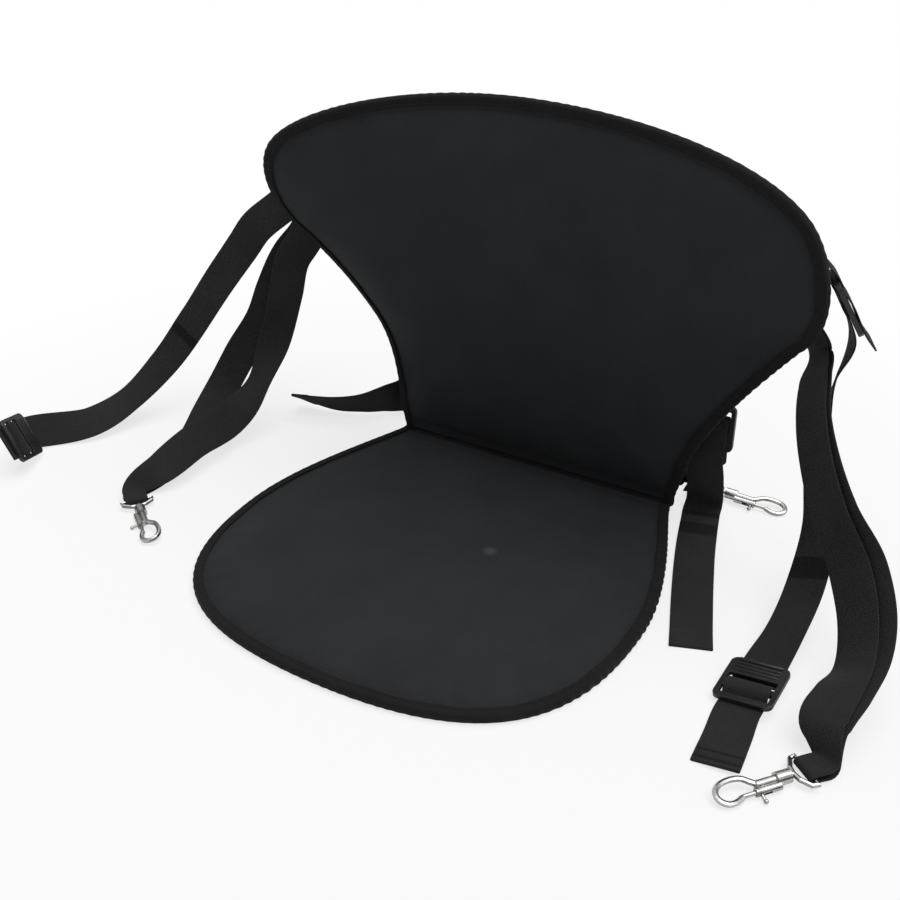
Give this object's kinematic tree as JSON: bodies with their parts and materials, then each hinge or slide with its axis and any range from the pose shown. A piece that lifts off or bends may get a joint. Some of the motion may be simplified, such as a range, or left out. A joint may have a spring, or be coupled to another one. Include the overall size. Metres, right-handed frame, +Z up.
{
  "type": "kayak seat",
  "caption": "Padded kayak seat with a high winged backrest, webbing straps, ladder locks and four swivel snap hooks.",
  "frame": {"origin": "middle of the seat pad's flat underside", "axes": "+Z up, -Y towards the front of the seat, +X to the right seen from the front"},
  "size_m": [0.9285, 0.4978, 0.4047],
  "materials": {
    "binding_tape": "folded woven tape",
    "black_plastic": "moulded, satin",
    "foam": "closed-cell foam",
    "pad_fabric": "matte laminated fabric",
    "plated_metal": "bright plated casting",
    "rear_fabric": "plain woven cover",
    "spring_steel": "drawn wire",
    "webbing": "flat woven webbing"
  },
  "bodies": {
    "seat": {"backrest_binding": "binding_tape", "backrest_face": "pad_fabric", "backrest_foam": "foam", "backrest_rear_cover": "rear_fabric", "fold_tape": "binding_tape", "left_buckle_strap": "webbing", "left_front_swivel_eye": "plated_metal", "left_loop_strap": "webbing", "left_rear_lock": "black_plastic", "left_rear_strap": "webbing", "left_rear_swivel_eye": "plated_metal", "left_rear_tab": "webbing", "left_strap_lock": "black_plastic", "left_wing_lock": "black_plastic", "left_wing_tab": "webbing", "right_buckle_strap": "webbing", "right_front_swivel_eye": "plated_metal", "right_loop_strap": "webbing", "right_rear_lock": "black_plastic", "right_rear_strap": "webbing", "right_rear_swivel_eye": "plated_metal", "right_rear_tab": "webbing", "right_strap_lock": "black_plastic", "right_wing_lock": "black_plastic", "right_wing_tab": "webbing", "seat_base": "rear_fabric", "seat_binding": "binding_tape", "seat_face": "pad_fabric", "seat_foam": "foam"},
    "left_front_hook": {"left_front_hook_body": "plated_metal", "left_front_bolt_spring": "spring_steel"},
    "left_front_pin": {"left_front_bolt": "plated_metal"},
    "right_front_hook": {"right_front_hook_body": "plated_metal", "right_front_bolt_spring": "spring_steel"},
    "right_front_pin": {"right_front_bolt": "plated_metal"},
    "left_rear_hook": {"left_rear_hook_body": "plated_metal", "left_rear_bolt_spring": "spring_steel"},
    "left_rear_pin": {"left_rear_bolt": "plated_metal"},
    "right_rear_hook": {"right_rear_hook_body": "plated_metal", "right_rear_bolt_spring": "spring_steel"},
    "right_rear_pin": {"right_rear_bolt": "plated_metal"}
  },
  "joints": [
    {"name": "left_front_swivel", "type": "hinge", "parent": "seat", "child": "left_front_hook", "pos_m": [-0.31766, -0.06933, 0.0055], "axis": [0.8211, -0.5708, 0], "continuous": true},
    {"name": "left_front_bolt_slide", "type": "slide", "parent": "left_front_hook", "child": "left_front_pin", "axis": [-0.8211, 0.5708, 0], "range_m": [0, 0.007], "stiffness_N_per_m": 300, "springref_m": -0.003, "deforming": ["left_front_bolt_spring"]},
    {"name": "right_front_swivel", "type": "hinge", "parent": "seat", "child": "right_front_hook", "pos_m": [0.38123, -0.09045, 0.0055], "axis": [-0.6392, -0.769, 0], "continuous": true},
    {"name": "right_front_bolt_slide", "type": "slide", "parent": "right_front_hook", "child": "right_front_pin", "axis": [0.6392, 0.769, 0], "range_m": [0, 0.007], "stiffness_N_per_m": 300, "springref_m": -0.003, "deforming": ["right_front_bolt_spring"]},
    {"name": "left_rear_swivel", "type": "hinge", "parent": "seat", "child": "left_rear_hook", "pos_m": [-0.1727, 0.28132, 0.0094], "axis": [0.9944, 0.0696, -0.0795], "continuous": true},
    {"name": "left_rear_bolt_slide", "type": "slide", "parent": "left_rear_hook", "child": "left_rear_pin", "axis": [-0.9944, -0.0696, 0.0795], "range_m": [0, 0.007], "stiffness_N_per_m": 300, "springref_m": -0.003, "deforming": ["left_rear_bolt_spring"]},
    {"name": "right_rear_swivel", "type": "hinge", "parent": "seat", "child": "right_rear_hook", "pos_m": [0.18795, 0.24709, 0.0094], "axis": [0.9944, 0.0696, -0.0795], "continuous": true},
    {"name": "right_rear_bolt_slide", "type": "slide", "parent": "right_rear_hook", "child": "right_rear_pin", "axis": [-0.9944, -0.0696, 0.0795], "range_m": [0, 0.007], "stiffness_N_per_m": 300, "springref_m": -0.003, "deforming": ["right_rear_bolt_spring"]}
  ]
}
